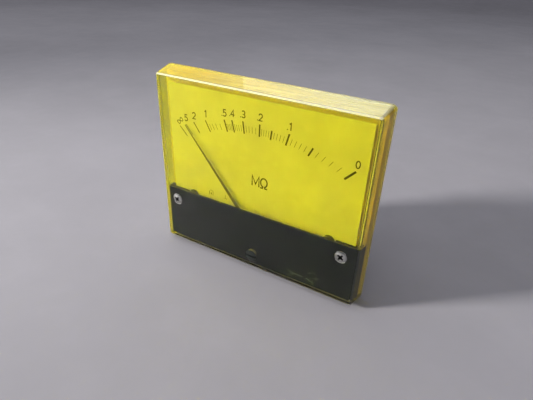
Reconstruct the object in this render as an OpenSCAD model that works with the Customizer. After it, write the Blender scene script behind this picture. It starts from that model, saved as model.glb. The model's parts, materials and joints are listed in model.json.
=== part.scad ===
// Rectangular moving-coil panel meter with a megohm dial.
// Front faces -Y, +X is to the viewer's right and +Z is up. The origin is the centre of the
// panel face: the plane where the meter's rim and base plate rest on the panel (y = 0).

/* [Cover] */
// Overall width of the cover at its rear rim
cover_w = 100; // [96:0.5:110]
// Overall height of the cover at its rear rim
cover_h = 85; // [83:0.5:95]
// Depth of the cover from its rear rim to the front of the window
cover_depth = 10; // [9.6:0.1:10.6]
// Wall thickness of the cover's sides
cover_wall = 1.8; // [1.6:0.1:2]
// Thickness of the front window
window_t = 2.5; // [1.8:0.1:2.5]
// How far each side leans in from the rear rim to the front
draft_x = 1.4; // [0.8:0.1:1.8]
// How far the top and the bottom lean in from the rear rim to the front
draft_z = 2.2; // [1:0.1:2.4]

/* [Mask and dial] */
// Height of the mask's top edge above the origin (negative is below)
mask_top = -13; // [-14:0.1:-11.5]
// Width of the dial plate
dial_w = 90.8; // [86:0.2:91]
// Height of the dial plate's top edge above the origin
dial_top = 36.4; // [35:0.1:37.8]
// Thickness of the dial plate
dial_t = 0.8; // [0.5:0.1:0.8]
// Sideways distance of each cover screw from the centre line
cover_screw_x = 41.4; // [40.8:0.1:41.6]
// Height of the cover screws
cover_screw_z = -17.9; // [-18.5:0.1:-17.5]
// Sideways distance of each dial screw from the centre line
dial_screw_x = 34.3; // [30:0.1:34.4]

/* [Movement] */
// Height of the pointer's axis
pivot_z = -24; // [-24.5:0.1:-23.5]
// Length of the pointer from its axis to its tip
pointer_len = 56.6; // [50:0.1:59]
// Pointer angle as modelled, from straight up, positive to the right
pointer_rest = -40; // [-44:0.5:44]
// Scale half angle: the end marks stand this far to either side
scale_half = 44.3; // [40:0.1:45]
// Radius of the magnet core
core_r = 6; // [5.6:0.1:6.2]
// Inner radius of the yoke ring
yoke_in_r = 8.4; // [8.3:0.1:8.8]
// Outer radius of the yoke ring
yoke_out_r = 11; // [10.4:0.1:11]
// Length of the magnet core and the yoke ring
magnet_len = 12; // [8:0.5:12]

/* [Zero adjuster] */
// Height of the zero adjuster's axis
adjuster_z = -34.4; // [-34.6:0.1:-34.2]
// Radius of the adjuster's slotted head
adjuster_r = 2.8; // [2.4:0.1:2.9]
// Distance of the eccentric pin from the adjuster's axis
eccentric = 1.6; // [1.2:0.1:1.7]

/* [Base] */
// Radius of the barrel
barrel_r = 28.5; // [28.5:0.1:29]
// Height of the barrel's axis
barrel_z = -11.2; // [-11.4:0.1:-11]
// Depth of the barrel behind the panel face
barrel_depth = 32.5; // [32:0.5:45]
// Wall thickness of the barrel
barrel_wall = 2.5; // [2:0.1:2.5]

/* [Mounting] */
// Sideways spacing of the mounting studs
stud_dx = 84; // [80:0.5:85]
// Upright spacing of the mounting studs
stud_dz = 68; // [64:0.5:69]
// Radius of a mounting stud
stud_r = 2; // [1.5:0.1:2]
// Length of a mounting stud behind the panel face
stud_len = 18; // [10:0.5:30]
// Sideways distance of each terminal stud from the centre line
terminal_x = 13; // [12:0.5:14]
// Radius of a terminal stud
terminal_r = 2.5; // [2:0.1:2.5]

/* [Hidden] */

$fn = 48;
corner_fn = 32;      // facets of a circle inside a hull
eps = 0.02;          // overshoot that makes cuts clean

// Planes from front to back, all measured along Y
front_y = -cover_depth;
window_back_y = front_y + window_t;
mask_front_y = window_back_y + 0.05;
mask_t = 0.7;
mask_back_y = mask_front_y + mask_t;
dial_front_y = -4.9;
dial_back_y = dial_front_y + dial_t;
plate_t = 3.5;
plate_front_y = -plate_t;
pointer_y = -6.35;
pointer_t = 0.3;
root_w = 1.8;
lever_y = -3.9;
lever_t = 0.6;
bridge_y = -3.2;
bridge_t = 1;
bridge_back_y = bridge_y + bridge_t;
spring_y = -1.3;
spring_t = 0.4;
hub_y = 0;
hub_t = 0.4;
magnet_y = 2.5;
magnet_back_y = magnet_y + magnet_len;
frame_y = magnet_back_y + 3.5;
frame_t = 2;
frame_back_y = frame_y + frame_t;
rear_wall_y = barrel_depth - barrel_wall;
board_y = rear_wall_y - 8;
board_t = 1.6;

// Moving coil, as half sizes of its rectangular loop
former_in = core_r + 0.5;
former_t = 0.5;
former_lip = 0.4;
former_half_w = 2.5;
winding_t = 0.8;
winding_half_w = 2.1;
coil_gap = 0.6;      // from the core's end to the inside of the former
coil_front_y = magnet_y - coil_gap - former_t - winding_t;
coil_back_y = magnet_back_y + coil_gap + former_t + winding_t;

// Fasteners and small parts
screw_r = 1.3;
screw_head_r = 2.6;
head_dome = 0.5;     // rise of a domed head above the window
dial_screw_z = -15.1;
dial_screw_r = 1;
pilot_depth = 3;
boss_half = 4;
post_x = 19;
post_r = 2.6;
bolt_x = 13.7;
bolt_r = 1.2;
jewel_r = 1.2;
staff_r = 0.5;
collet_r = 1.2;
running = 0.05;      // radial clearance of a running fit
board_post_x = 11.5;
board_z = 5;
terminal_z = -2;
free_r = terminal_r - 0.2;
root_r = stud_r + 0.4;
resistor_half = 5;
resistor_lead = 7.5;
resistor_dz = 2;
resistor_y = board_y - 2.2;
lead_r = 0.3;
lead_end_y = board_y + board_t + 0.6;
washer_t = 0.8;
inner_nut_t = 3.5;
outer_nut_t = 4;
lug_t = 0.7;
washer_2_y = barrel_depth + washer_t + inner_nut_t;
stop_r = 0.5;

// Straight round rod along Y from y0 to y1
module rod(r, y0, y1) {
    translate([0, y0, 0]) rotate([-90, 0, 0]) cylinder(h = y1 - y0, r = r);
}

// Cone along Y: radius r0 at y0 and r1 at y1
module cone(r0, r1, y0, y1) {
    translate([0, y0, 0]) rotate([-90, 0, 0]) cylinder(h = y1 - y0, r1 = r0, r2 = r1);
}

// Low dome of radius r that rises forward from depth y
module dome(r, y) {
    dome_r = (r * r + head_dome * head_dome) / (2 * head_dome);
    intersection() {
        translate([0, y - head_dome + dome_r, 0]) sphere(dome_r, $fn = 96);
        rod(r, y - 1, y + eps);
    }
}

// Flat shape in the XZ plane, thickened along Y from y0 to y1
module slab(y0, y1) {
    translate([0, y1, 0]) rotate([90, 0, 0]) linear_extrude(y1 - y0) children();
}

// Rectangle with round corners, w wide and h high
module round_rect(w, h, r) {
    square([w - 2 * r, h], center = true);
    square([w, h - 2 * r], center = true);
    for (sx = [-1, 1], sz = [-1, 1])
        translate([sx * (w / 2 - r), sz * (h / 2 - r)]) circle(r, $fn = corner_fn);
}

// Sizes of the cover's outside at depth y, less a margin all round
function wide_at(y, margin) = cover_w - 2 * draft_x * (-y / cover_depth) - 2 * margin;
function high_at(y, margin) = cover_h - 2 * draft_z * (-y / cover_depth) - 2 * margin;

// Solid that follows the cover's draft from y0 back to y1
module drafted(y0, y1, margin, r) {
    skin = 0.05;
    hull() {
        slab(y0, y0 + skin) round_rect(wide_at(y0, margin), high_at(y0, margin), r);
        slab(y1 - skin, y1) round_rect(wide_at(y1, margin), high_at(y1, margin), r);
    }
}

// Puts its children at both sides of the centre line
module both_sides(x, z) {
    for (side = [-1, 1]) translate([side * x, 0, z]) children();
}

// Puts its children on the pointer's axis
module at_pivot() {
    translate([0, 0, pivot_z]) children();
}

// Puts its children on the pointer's axis, turned with the pointer
module at_pointer() {
    at_pivot() rotate([0, pointer_rest, 0]) children();
}

// Hexagonal nut with a bore
module nut(across, bore, y0, y1) {
    difference() {
        translate([0, y0, 0]) rotate([-90, 0, 0])
            cylinder(h = y1 - y0, r = across / 2 / cos(30), $fn = 6);
        rod(bore, y0 - eps, y1 + eps);
    }
}

// Slot across a screw's head that is open to the front
module slot(width, length, y0, depth) {
    translate([-length / 2, y0 - eps, -width / 2]) cube([length, depth + eps, width]);
}

// Flat spiral from radius r0 out to r1, ending at the angle end_a (0 is up, clockwise)
module spiral(r0, r1, turns, width, end_a) {
    steps = turns * 24;
    angle = function(i) end_a - 360 * turns * (1 - i / steps);
    radius = function(i) r0 + (r1 - r0) * i / steps;
    outer = [for (i = [0 : steps])
        (radius(i) + width / 2) * [sin(angle(i)), cos(angle(i))]];
    inner = [for (i = [steps : -1 : 0])
        (radius(i) - width / 2) * [sin(angle(i)), cos(angle(i))]];
    polygon(concat(outer, inner));
}

// Twelve-sided wire through a list of points; each run reaches a little past its ends
module wire(points, r) {
    past = r * 0.4;
    for (i = [0 : len(points) - 2]) {
        run = points[i + 1] - points[i];
        length = norm(run);
        translate(points[i] - run * past / length)
            rotate([0, atan2(norm([run.x, run.y]), run.z), atan2(run.y, run.x)])
                cylinder(h = length + 2 * past, r = r, $fn = 12);
    }
}

// Transparent cap: window and four walls in one moulding
module cover() color([0.88, 0.8, 0.25, 0.5]) {
    chamfer = 0.6;
    rim = 0.8;
    lead_in = 0.1;
    difference() {
        hull() {
            slab(front_y, front_y + eps)
                round_rect(wide_at(front_y, chamfer), high_at(front_y, chamfer), 0.6);
            slab(front_y + chamfer, front_y + chamfer + eps)
                round_rect(wide_at(front_y, 0), high_at(front_y, 0), 0.9);
            slab(-rim, 0) round_rect(cover_w, cover_h, 2);
        }
        drafted(window_back_y, lead_in, cover_wall, 0.8);
        both_sides(cover_screw_x, cover_screw_z) {
            rod(screw_r + 0.15, front_y - eps, 0);
            cone(screw_head_r + 0.17, screw_r + 0.15, front_y - eps, front_y + screw_r);
        }
        translate([0, 0, adjuster_z]) rod(adjuster_r + running, front_y - eps, 0);
    }
}

// Two countersunk screws with low domed heads and cross recesses
module cover_screws() color("silver") {
    recess = [2.9, 0.8];
    recess_depth = 0.9;
    final_turn = 33;
    both_sides(cover_screw_x, cover_screw_z) difference() {
        union() {
            rod(screw_r, front_y + screw_r - eps, -0.5);
            cone(screw_head_r, screw_r, front_y, front_y + screw_r);
            dome(screw_head_r, front_y);
        }
        for (turn = [0, 90]) rotate([0, final_turn + turn, 0])
            slot(recess[1], recess[0], front_y - 1, recess_depth + 1);
        cone(0.85, 0.3, front_y - 0.6, front_y + recess_depth + 0.3);
    }
}

// Black mask behind the window's lower part, with side flanges and two screw bosses
module mask() color([0.12, 0.13, 0.12]) {
    flange_t = 0.8;
    gap = 0.1;
    half_w = wide_at(mask_front_y, cover_wall) / 2 - gap;
    low = -high_at(mask_front_y, cover_wall) / 2 + gap;
    flange_back_y = plate_front_y - 0.1;
    difference() {
        union() {
            translate([-half_w, mask_front_y, low]) cube([2 * half_w, mask_t, mask_top - low]);
            for (side = [-1, 1])
                translate([side * (half_w - flange_t / 2), 0, 0])
                    slab(mask_back_y - eps, flange_back_y)
                        translate([0, (low + mask_top) / 2])
                            square([flange_t, mask_top - low], center = true);
            both_sides((cover_screw_x - boss_half + half_w) / 2, cover_screw_z)
                slab(mask_back_y - eps, flange_back_y)
                    square([half_w - cover_screw_x + boss_half, 2 * boss_half], center = true);
        }
        both_sides(cover_screw_x, cover_screw_z) rod(screw_r + 0.15, front_y, 0);
        translate([0, 0, adjuster_z]) rod(adjuster_r + running, front_y, 0);
    }
}

// Printed metal plate, cut away at the bottom for the movement and at the lower corners
module dial_plate() color([0.93, 0.9, 0.5]) {
    shoulder_z = cover_screw_z + boss_half + 0.3;
    tongue_x = cover_screw_x - boss_half - 0.4;
    low = -36;
    notch_r = 8.8;
    notch_x = 18;
    notch_z = -19;
    difference() {
        slab(dial_front_y, dial_back_y) difference() {
            union() {
                translate([-dial_w / 2, shoulder_z]) square([dial_w, dial_top - shoulder_z]);
                translate([-tongue_x, low]) square([2 * tongue_x, shoulder_z - low + eps]);
            }
            translate([0, pivot_z]) circle(notch_r);
            translate([-notch_x, low - eps]) square([2 * notch_x, notch_z - low]);
        }
        both_sides(dial_screw_x, dial_screw_z) rod(dial_screw_r + 0.1, -6, 0);
        stop_pins() rod(stop_r, -6, 0);
    }
}

// Two slotted pan-head screws that hold the dial plate
module dial_screws() color([0.2, 0.2, 0.19]) {
    head_r = 2.6;
    head_h = 1.3;
    both_sides(dial_screw_x, dial_screw_z) difference() {
        union() {
            rod(dial_screw_r, dial_front_y - eps, plate_front_y + pilot_depth - 0.5);
            cone(head_r - 0.3, head_r, dial_front_y - head_h, dial_front_y - head_h + 0.4);
            rod(head_r, dial_front_y - head_h + 0.4, dial_front_y);
        }
        slot(0.6, 2 * head_r + 1, dial_front_y - head_h, 0.6);
    }
}

// Places the two pins that stop the pointer just past either end of the scale
module stop_pins() {
    reach = 11.8;
    overrun = scale_half + 1.6;
    offset_r = root_w / 2 + stop_r + 0.15;
    for (side = [-1, 1])
        translate([side * (reach * sin(overrun) + offset_r * cos(overrun)), 0,
                   pivot_z + reach * cos(overrun) - offset_r * sin(overrun)])
            children();
}

// Sleeved stop pins riveted in the dial plate
module pointer_stops() color("dimgray") {
    stop_pins() rod(stop_r, -6.5, dial_back_y + 0.2);
}

// Slotted adjuster: head in the window, collar behind the mask, eccentric pin at the back
module zero_adjuster() color([0.1, 0.1, 0.1]) {
    collar_y = mask_back_y + 0.1;
    collar_t = 0.6;
    pin_r = 0.6;
    translate([0, 0, adjuster_z]) {
        difference() {
            union() {
                dome(adjuster_r, front_y);
                rod(adjuster_r, front_y, collar_y + eps);
                rod(adjuster_r + 0.5, collar_y, collar_y + collar_t);
            }
            slot(0.9, 2 * adjuster_r + 1, front_y - 1, 1.9);
        }
        translate([0, 0, eccentric]) rod(pin_r, collar_y + collar_t - eps, -3);
    }
}

// Zero lever: turns about the front jewel screw, is worked by the eccentric pin through its
// fork, and carries the outer end of the front hairspring on its finger
module zero_lever() color("gold") {
    hub_r = 2.4;
    fork_slot = 1.44;
    fork_w = 4;
    reach = pivot_z - adjuster_z;
    finger_a = 150;
    finger_r = 5.2;
    at_pivot() {
        difference() {
            slab(lever_y, lever_y + lever_t) {
                circle(hub_r);
                translate([-1.2, -(reach - 4)]) square([2.4, reach - 4]);
                translate([-fork_w / 2, -reach]) square([fork_w, 4.2]);
                rotate(-finger_a) translate([-0.5, 0]) square([1, finger_r + 0.4]);
            }
            rod(jewel_r + running, lever_y - eps, 0);
            translate([-fork_slot / 2, lever_y - 1, -reach - 1]) cube([fork_slot, 2, 4]);
        }
        rotate([0, finger_a, 0])
            translate([-0.5, lever_y + eps, finger_r])
                cube([1, spring_y + spring_t - lever_y, 0.4]);
    }
}

// Spiral return spring in front of the coil
module front_hairspring() color("goldenrod") {
    at_pivot() slab(spring_y, spring_y + spring_t) spiral(1.3, 5.12, 4, 0.14, 152);
}

// Spiral return spring behind the coil
module rear_hairspring() color("goldenrod") {
    rear_y = coil_back_y + 0.45;
    at_pivot() slab(rear_y, rear_y + spring_t) spiral(1.3, 5.12, 4, 0.14, 152);
}

// Fixed arm that holds the outer end of the rear hairspring
module rear_spring_arm() color("gold") {
    arm_r = 5.2;
    rear_y = coil_back_y + 0.45;
    at_pivot() rotate([0, 150, 0]) translate([-0.5, rear_y, arm_r])
        cube([1, frame_y - rear_y, 0.8]);
}

// Bridge across the front of the movement
module front_bridge() color([0.78, 0.78, 0.8]) {
    at_pivot() difference() {
        slab(bridge_y, bridge_back_y) {
            circle(3.2);
            square([2 * bolt_x, 3.6], center = true);
            for (side = [-1, 1]) translate([side * bolt_x, 0]) circle(2.4);
        }
        rod(jewel_r, bridge_y - eps, bridge_back_y + eps);
        both_sides(bolt_x, 0) rod(bolt_r + 0.05, bridge_y - eps, bridge_back_y + eps);
    }
}

// Jewel screw: a slotted screw whose end has a cone for the pivot; tip_y is the cone's end
module jewel_screw(tip_y, outer_y) {
    cup_depth = 0.8;
    forward = outer_y < tip_y;
    slot_y = forward ? outer_y : outer_y - 0.5;
    difference() {
        rod(jewel_r, min(tip_y, outer_y), max(tip_y, outer_y));
        if (forward) cone(0.1, 0.77, tip_y - cup_depth, tip_y + eps);
        else cone(0.77, 0.1, tip_y - eps, tip_y + cup_depth);
        slot(0.5, 2 * jewel_r + 1, slot_y, 0.5 + eps);
    }
}

// Screw with the front jewel bearing
module front_jewel_screw() color("darkkhaki") {
    at_pivot() jewel_screw(-1.7, -5.4);
}

// Screw with the rear jewel bearing
module rear_jewel_screw() color("darkkhaki") {
    at_pivot() jewel_screw(frame_y - 0.3, frame_back_y + 2);
}

// Nuts that lock the jewel screws
module jewel_lock_nuts() color("goldenrod") {
    at_pivot() {
        nut(4, jewel_r, lever_y - 1, lever_y - 0.1);
        nut(4, jewel_r, frame_back_y, frame_back_y + 1.2);
    }
}

// Two long screws through the bridge, spacers and yoke into the rear frame
module movement_screws() color("silver") {
    head_h = 1.2;
    at_pivot() both_sides(bolt_x, 0) difference() {
        union() {
            rod(bolt_r, bridge_y - eps, frame_back_y - 0.2);
            rod(2.1, bridge_y - head_h, bridge_y);
        }
        slot(0.6, 6, bridge_y - head_h, 0.6);
    }
}

// Round spacer with a bore
module spacer(y0, y1) {
    difference() {
        rod(2, y0, y1);
        rod(bolt_r + 0.05, y0 - eps, y1 + eps);
    }
}

// Spacers between the front bridge and the yoke's ears
module front_spacers() color("khaki") {
    at_pivot() both_sides(bolt_x, 0) spacer(bridge_back_y, magnet_y);
}

// Spacers between the yoke's ears and the rear frame
module rear_spacers() color("khaki") {
    at_pivot() both_sides(bolt_x, 0) spacer(magnet_back_y, frame_y);
}

// Frame bar that carries the movement on the posts in the barrel
module rear_frame() color([0.7, 0.7, 0.72]) {
    at_pivot() difference() {
        slab(frame_y, frame_back_y) {
            circle(6);
            square([2 * post_x, 5.6], center = true);
            for (side = [-1, 1]) translate([side * post_x, 0]) circle(2.8);
        }
        rod(jewel_r, frame_y - eps, frame_back_y + eps);
        both_sides(bolt_x, 0) rod(bolt_r, frame_y - eps, frame_back_y + eps);
        both_sides(post_x, 0) rod(bolt_r + 0.1, frame_y - eps, frame_back_y + eps);
    }
}

// Screws that fix the frame to the posts
module frame_screws() color("silver") {
    head_h = 1.2;
    at_pivot() both_sides(post_x, 0) difference() {
        union() {
            rod(bolt_r, frame_y - eps, frame_back_y + 5);
            rod(2.1, frame_y - head_h, frame_y);
        }
        slot(0.6, 6, frame_y - head_h, 0.6);
    }
}

// Soft-iron ring with two ears
module yoke_ring() color([0.45, 0.46, 0.48]) {
    ear_x = 16.4;
    at_pivot() difference() {
        slab(magnet_y, magnet_back_y) difference() {
            union() {
                circle(yoke_out_r, $fn = 96);
                square([2 * (ear_x - 1), 6], center = true);
                for (side = [-1, 1]) translate([side * (ear_x - 3), 0]) circle(3);
            }
            circle(yoke_in_r, $fn = 96);
        }
        both_sides(bolt_x, 0) rod(bolt_r + 0.05, magnet_y - eps, magnet_back_y + eps);
    }
}

// Cylindrical magnet inside the moving coil
module magnet_core() color([0.35, 0.35, 0.37]) {
    chamfer = 0.4;
    at_pivot() {
        cone(core_r - chamfer, core_r, magnet_y, magnet_y + chamfer);
        rod(core_r, magnet_y + chamfer, magnet_back_y - chamfer);
        cone(core_r, core_r - chamfer, magnet_back_y - chamfer, magnet_back_y);
    }
}

// Two blocks that hold the core in the yoke, clear of the coil's sweep
module core_clamps() color("khaki") {
    clamp_w = 4;
    inset = magnet_len * 0.2;
    at_pivot() for (turn = [0, 180]) rotate([0, turn, 0])
        slab(magnet_y + inset, magnet_back_y - inset) intersection() {
            difference() {
                circle(yoke_in_r, $fn = 96);
                circle(core_r);
            }
            translate([-clamp_w / 2, 0]) square([clamp_w, yoke_in_r + 1]);
        }
}

// Rectangular loop about the axis; half is the loop's inner half width in X
module loop_frame(half, front, back, t, half_w) {
    difference() {
        translate([-half - t, front - t, -half_w])
            cube([2 * (half + t), back - front + 2 * t, 2 * half_w]);
        translate([-half, front, -half_w - 1]) cube([2 * half, back - front, 2 * half_w + 2]);
    }
}

// Aluminium former of the moving coil, with lips that hold the winding
module coil_former() color([0.8, 0.8, 0.82]) {
    front = magnet_y - coil_gap;
    back = magnet_back_y + coil_gap;
    lip_w = former_half_w - winding_half_w;
    at_pointer() {
        loop_frame(former_in, front, back, former_t, former_half_w);
        for (side = [-1, 1])
            translate([0, 0, side * (former_half_w - lip_w / 2)])
                loop_frame(former_in + former_t - eps, front - former_t + eps,
                           back + former_t - eps, former_lip + eps, lip_w / 2);
    }
}

// Copper winding on the former
module coil_winding() color("peru") {
    front = magnet_y - coil_gap - former_t;
    back = magnet_back_y + coil_gap + former_t;
    at_pointer() loop_frame(former_in + former_t, front, back, winding_t, winding_half_w);
}

// Front staff: foot on the coil, shoulder for the pointer, collet for the spring, and pivot
module front_staff() color("lightsteelblue") {
    at_pointer() {
        rod(1.6, hub_y + hub_t, coil_front_y);
        rod(0.8, hub_y - 0.1, hub_y + hub_t + eps);
        rod(staff_r, -1.62 - eps, hub_y);
        rod(collet_r, spring_y - 0.05, spring_y + spring_t + 0.05);
        cone(0.08, staff_r, -2.42, -1.62);
    }
}

// Rear staff: foot on the coil, collet for the spring, and pivot
module rear_staff() color("lightsteelblue") {
    foot_t = 0.2;
    pivot_y = coil_back_y + 1.22;
    rear_y = coil_back_y + 0.45;
    at_pointer() {
        rod(1.6, coil_back_y, coil_back_y + foot_t);
        rod(staff_r, coil_back_y + foot_t - eps, pivot_y);
        rod(collet_r, rear_y - 0.05, rear_y + spring_t + 0.05);
        cone(staff_r, 0.08, pivot_y, pivot_y + 0.8);
    }
}

// Pointer: cross at the hub, a crank that steps forward through the dial, a tapered blade
module pointer() color([0.08, 0.08, 0.08]) {
    crank_r = 6.6;
    crank_end = 7.2;
    tip_w = 0.22;
    tail_r = 9.5;
    arm_r = 9.6;
    at_pointer() {
        slab(hub_y, hub_y + hub_t) difference() {
            union() {
                circle(1.9);
                translate([-root_w / 2, 0]) square([root_w, crank_end]);
                translate([-0.5, -tail_r]) square([1, tail_r]);
                translate([-arm_r, -0.4]) square([2 * arm_r, 0.8]);
            }
            circle(0.8);
        }
        translate([-root_w / 2, pointer_y, crank_r])
            cube([root_w, hub_y + hub_t - pointer_y, crank_end - crank_r]);
        slab(pointer_y, pointer_y + pointer_t)
            polygon([[-root_w / 2, crank_r], [root_w / 2, crank_r],
                     [tip_w / 2, pointer_len], [-tip_w / 2, pointer_len]]);
    }
}

// Balance weights threaded on the pointer's tail and side arms
module counterweights() color("goldenrod") {
    centre_y = hub_y + hub_t / 2;
    tail_bore = 0.54;
    arm_bore = 0.45;
    at_pointer() {
        for (turn = [90, -90]) rotate([0, turn, 0]) translate([0, centre_y, 8.2]) difference() {
            cylinder(h = 1.2, r = 0.85, $fn = 24);
            translate([0, 0, -eps]) cylinder(h = 2, r = arm_bore, $fn = 24);
        }
        rotate([0, 180, 0]) translate([0, centre_y, 6.4]) difference() {
            cylinder(h = 2.8, r = 1.4, $fn = 24);
            translate([0, 0, -eps]) cylinder(h = 4, r = tail_bore, $fn = 24);
        }
    }
}

// Moulded base: drafted plate inside the cover's rim, round barrel and posts behind it
module base() color([0.86, 0.82, 0.7]) {
    fit_gap = 0.2;
    edge = 1.2;
    barrel_in_r = barrel_r - barrel_wall;
    boss_r = 2.5;
    top_boss = [40, 30];
    difference() {
        union() {
            drafted(plate_front_y, 0, cover_wall + fit_gap, 0.6);
            translate([0, 0, barrel_z]) {
                rod(barrel_r, -eps, barrel_depth - edge, $fn = 128);
                cone(barrel_r, barrel_r - edge, barrel_depth - edge, barrel_depth);
            }
            both_sides(dial_screw_x, dial_screw_z) rod(boss_r, dial_back_y, plate_front_y + eps);
            both_sides(top_boss[0], top_boss[1]) rod(boss_r, dial_back_y, plate_front_y + eps);
        }
        difference() {
            translate([0, 0, barrel_z]) rod(barrel_in_r, plate_front_y - 1, rear_wall_y);
            both_sides(post_x, pivot_z) rod(post_r, frame_back_y, rear_wall_y + eps);
            both_sides(board_post_x, board_z) rod(1.8, board_y + board_t, rear_wall_y + eps);
        }
        both_sides(post_x, pivot_z) rod(bolt_r, frame_back_y - eps, frame_back_y + 6);
        both_sides(board_post_x, board_z)
            rod(dial_screw_r, board_y, board_y + board_t + pilot_depth + 1);
        both_sides(cover_screw_x, cover_screw_z) rod(screw_r, plate_front_y - eps, -0.3);
        both_sides(dial_screw_x, dial_screw_z)
            rod(dial_screw_r, plate_front_y - 1, plate_front_y + pilot_depth);
        both_sides(terminal_x, terminal_z)
            rod(terminal_r + 0.1, rear_wall_y - eps, barrel_depth + eps);
        for (sz = [-1, 1]) both_sides(stud_dx / 2, sz * stud_dz / 2) rod(root_r, -3, eps);
    }
}

// Four studs with thicker roots set in the base plate, for fixing to a panel
module mounting_studs() color("silver") {
    tip = 0.5;
    for (sz = [-1, 1]) both_sides(stud_dx / 2, sz * stud_dz / 2) {
        rod(root_r, -3, 0);
        rod(stud_r, -eps, stud_len - tip);
        cone(stud_r, stud_r - tip, stud_len - tip, stud_len);
    }
}

// Two terminal studs through the barrel's rear wall, reduced at their free ends
module terminal_studs() color("gold") {
    head_t = 1.8;
    reach = barrel_depth + 17.5;
    tip = 0.5;
    free_y = washer_2_y + washer_t + outer_nut_t + 0.4;
    both_sides(terminal_x, terminal_z) {
        rod(4, rear_wall_y - lug_t - head_t, rear_wall_y - lug_t);
        rod(terminal_r, rear_wall_y - lug_t - eps, free_y);
        rod(free_r, free_y - eps, reach - tip);
        cone(free_r, free_r - tip, reach - tip, reach);
    }
}

// Two washers on each terminal stud
module terminal_washers() color("silver") {
    both_sides(terminal_x, terminal_z)
        for (y = [barrel_depth, washer_2_y]) difference() {
            rod(5, y, y + washer_t);
            rod(terminal_r + 0.1, y - eps, y + washer_t + eps);
        }
}

// Two nuts on each terminal stud
module terminal_nuts() color("gold") {
    both_sides(terminal_x, terminal_z) {
        nut(8, terminal_r, barrel_depth + washer_t, washer_2_y);
        nut(8, terminal_r, washer_2_y + washer_t, washer_2_y + washer_t + outer_nut_t);
    }
}

// Solder lugs under the heads of the terminal studs
module solder_lugs() color("silver") {
    both_sides(terminal_x, terminal_z) difference() {
        slab(rear_wall_y - lug_t, rear_wall_y) difference() {
            union() {
                circle(4);
                translate([-1.5, -9]) square([3, 9]);
            }
            circle(terminal_r + 0.1);
            translate([0, -7.5]) circle(0.7);
        }
    }
}

// Small board across two posts in the upper part of the barrel
module resistor_board() color([0.55, 0.42, 0.2]) {
    difference() {
        slab(board_y, board_y + board_t) translate([0, board_z]) square([28, 8], center = true);
        both_sides(board_post_x, board_z) rod(dial_screw_r + 0.1, board_y - 1, board_y + 3);
        for (dz = [-resistor_dz, resistor_dz])
            both_sides(resistor_lead, board_z + dz) rod(lead_r + 0.1, board_y - 1, board_y + 3);
    }
}

// Screws that hold the board
module board_screws() color("silver") {
    both_sides(board_post_x, board_z) difference() {
        union() {
            rod(dial_screw_r, board_y - eps, board_y + board_t + pilot_depth);
            rod(1.9, board_y - 1.1, board_y);
        }
        slot(0.5, 5, board_y - 1.1, 0.5);
    }
}

// Two film resistors in series with the coil, joined by a bare link behind the board
module series_resistors() color([0.35, 0.55, 0.7]) {
    body_r = 1.4;
    for (z = [board_z - resistor_dz, board_z + resistor_dz]) {
        translate([-resistor_half, resistor_y, z]) rotate([0, 90, 0])
            cylinder(h = 2 * resistor_half, r = body_r);
        wire([[-resistor_lead, lead_end_y, z], [-resistor_lead, resistor_y, z],
              [resistor_lead, resistor_y, z], [resistor_lead, lead_end_y, z]], lead_r);
    }
    wire([[resistor_lead, lead_end_y, board_z - resistor_dz],
          [resistor_lead, lead_end_y, board_z + resistor_dz]], lead_r);
}

// Insulated wires: lug to board, board to rear frame, lug to front bridge
module lead_wires() color("firebrick") {
    wire_r = 0.5;
    touch = wire_r * 1.1;
    lug_y = rear_wall_y - lug_t - touch;
    lug_z = terminal_z - 7.5;
    joint_y = lead_end_y + lead_r + touch;
    wire([[-terminal_x, lug_y, lug_z], [-terminal_x, lug_y - 3, lug_z],
          [-resistor_lead, joint_y + 0.5, board_z - 8],
          [-resistor_lead, joint_y, board_z - resistor_dz]], wire_r);
    wire([[-resistor_lead, joint_y, board_z + resistor_dz], [-3, joint_y + 1, board_z - 3],
          [-3, joint_y + 1, pivot_z + 12], [-4, frame_back_y + touch, pivot_z + 3.5]], wire_r);
    wire([[terminal_x, lug_y, lug_z], [terminal_x, lug_y - 5, lug_z - 1],
          [17, magnet_back_y + 3, pivot_z + 10], [16.5, 0.5, pivot_z + 8],
          [11, bridge_back_y + touch, pivot_z + 0.8]], wire_r);
}

cover();
cover_screws();
mask();
dial_plate();
dial_screws();
pointer_stops();
zero_adjuster();
zero_lever();
front_hairspring();
rear_hairspring();
rear_spring_arm();
front_bridge();
front_jewel_screw();
rear_jewel_screw();
jewel_lock_nuts();
movement_screws();
front_spacers();
rear_spacers();
rear_frame();
frame_screws();
yoke_ring();
magnet_core();
core_clamps();
coil_former();
coil_winding();
front_staff();
rear_staff();
pointer();
counterweights();
base();
mounting_studs();
terminal_studs();
terminal_washers();
terminal_nuts();
solder_lugs();
resistor_board();
board_screws();
series_resistors();
lead_wires();
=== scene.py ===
import json
import math

import bmesh
import bpy
from mathutils import Matrix, Vector


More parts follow.
